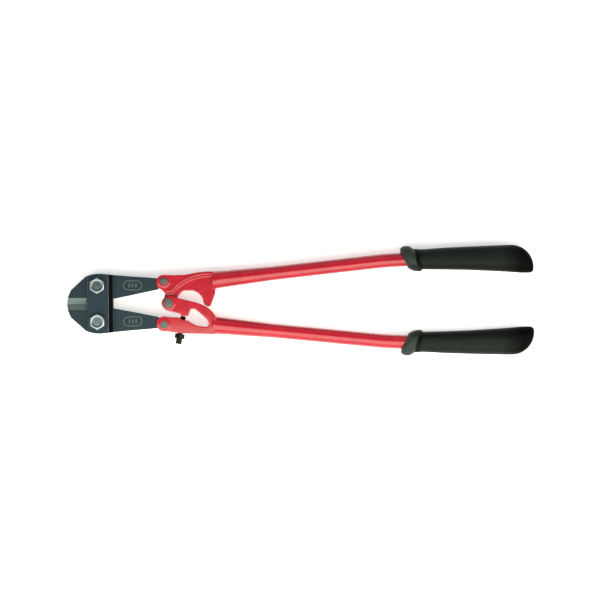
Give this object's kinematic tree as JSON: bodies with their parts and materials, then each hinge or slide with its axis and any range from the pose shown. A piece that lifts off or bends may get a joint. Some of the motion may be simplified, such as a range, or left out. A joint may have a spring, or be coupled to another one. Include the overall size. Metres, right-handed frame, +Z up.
{
  "type": "bolt cutters",
  "caption": "Long-handled toggle-action bolt cutters with forged jaws between two side plates, tubular handles and moulded grips.",
  "frame": {"origin": "on the plane that the tool lies on, under the centre of its bounding box", "axes": "+X from the jaw tips to the grips along the tool, +Y from the lower handle to the upper handle, +Z up through the pivots towards the bolt heads"},
  "size_m": [0.63, 0.1486, 0.0376],
  "materials": {
    "plate_steel": "satin",
    "jaw_steel": "satin",
    "bolt_steel": "satin",
    "washer_steel": "satin",
    "red_paint": "satin",
    "red_tube_paint": "gloss",
    "black_grip": "matte",
    "pin_steel": "satin",
    "ring_steel": "satin",
    "black_screw": "satin"
  },
  "bodies": {
    "head": {"front_side_plate": "plate_steel", "back_side_plate": "plate_steel", "upper_jaw_bolt": "bolt_steel", "lower_jaw_bolt": "bolt_steel", "upper_jaw_washer": "washer_steel", "lower_jaw_washer": "washer_steel", "upper_jaw_nut": "bolt_steel", "lower_jaw_nut": "bolt_steel"},
    "upper_jaw": {"upper_jaw": "jaw_steel"},
    "lower_jaw": {"lower_jaw": "jaw_steel"},
    "upper_handle": {"upper_handle_forging": "red_paint", "upper_handle_tube": "red_tube_paint", "upper_grip": "black_grip", "upper_link_pin": "pin_steel", "upper_pin_ring": "ring_steel"},
    "lower_handle": {"lower_handle_forging": "red_paint", "lower_handle_tube": "red_tube_paint", "lower_grip": "black_grip", "lower_link_pin": "pin_steel", "lower_pin_ring": "ring_steel", "centre_pin": "pin_steel", "centre_pin_ring": "ring_steel"},
    "adjusting_screw": {"adjusting_screw": "black_screw"},
    "screw_lock_nut": {"screw_lock_nut": "black_screw"}
  },
  "joints": [
    {"name": "upper_jaw_pivot", "type": "hinge", "parent": "head", "child": "upper_jaw", "pos_m": [-0.27364, 0.0243, 0.0188], "axis": [0, 0, 1], "range_deg": [-9.01, 0]},
    {"name": "lower_jaw_pivot", "type": "hinge", "parent": "head", "child": "lower_jaw", "pos_m": [-0.27364, -0.0243, 0.0188], "axis": [0, 0, 1], "range_deg": [0, 9.01]},
    {"name": "upper_handle_link", "type": "hinge", "parent": "upper_jaw", "child": "upper_handle", "pos_m": [-0.18364, 0.0295, 0.0188], "axis": [0, 0, 1], "range_deg": [0, 57.73]},
    {"name": "lower_handle_link", "type": "hinge", "parent": "lower_jaw", "child": "lower_handle", "pos_m": [-0.18364, -0.0295, 0.0188], "axis": [0, 0, 1], "range_deg": [-57.74, 0]},
    {"name": "adjusting_screw_turn", "type": "hinge", "parent": "lower_handle", "child": "adjusting_screw", "pos_m": [-0.15844, -0.018, 0.0188], "axis": [-0.1822, -0.9833, 0], "range_deg": [-180, 180]},
    {"name": "lock_nut_turn", "type": "hinge", "parent": "lower_handle", "child": "screw_lock_nut", "pos_m": [-0.16336, -0.04455, 0.0188], "axis": [-0.1822, -0.9833, 0], "range_deg": [-180, 180]}
  ],
  "couplings": [
    {"joint": "lower_handle_link", "follows": "upper_handle_link", "ratio": -1},
    {"joint": "upper_jaw_pivot", "follows": "upper_handle_link", "ratio": -0.15589},
    {"joint": "lower_jaw_pivot", "follows": "upper_handle_link", "ratio": 0.15589}
  ]
}
